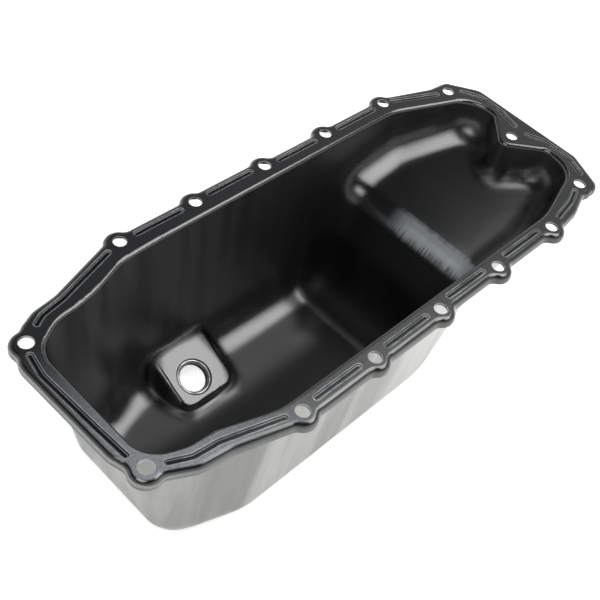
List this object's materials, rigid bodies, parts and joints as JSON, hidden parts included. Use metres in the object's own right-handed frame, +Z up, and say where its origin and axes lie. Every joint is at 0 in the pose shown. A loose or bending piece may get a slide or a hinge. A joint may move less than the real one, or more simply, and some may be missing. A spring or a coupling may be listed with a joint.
{
  "type": "engine oil pan",
  "caption": "Pressed steel oil pan: deep sump stepping up to a shallow end, bolt flange with gasket grooves, down-turned lip, tilted drain boss with weld nut.",
  "frame": {"origin": "on the ground under the middle of the flange, so the flange top is 124 mm up", "axes": "+X from the deep sump end to the shallow end, +Y to the side of the drain boss, +Z up out of the open mouth"},
  "size_m": [0.404, 0.1676, 0.124],
  "materials": {
    "pan": "black dip coat, semi-gloss",
    "nut": "thin black dip coat over steel"
  },
  "bodies": {
    "root": {"pan_pressing": "pan", "drain_nut": "nut"}
  },
  "joints": []
}
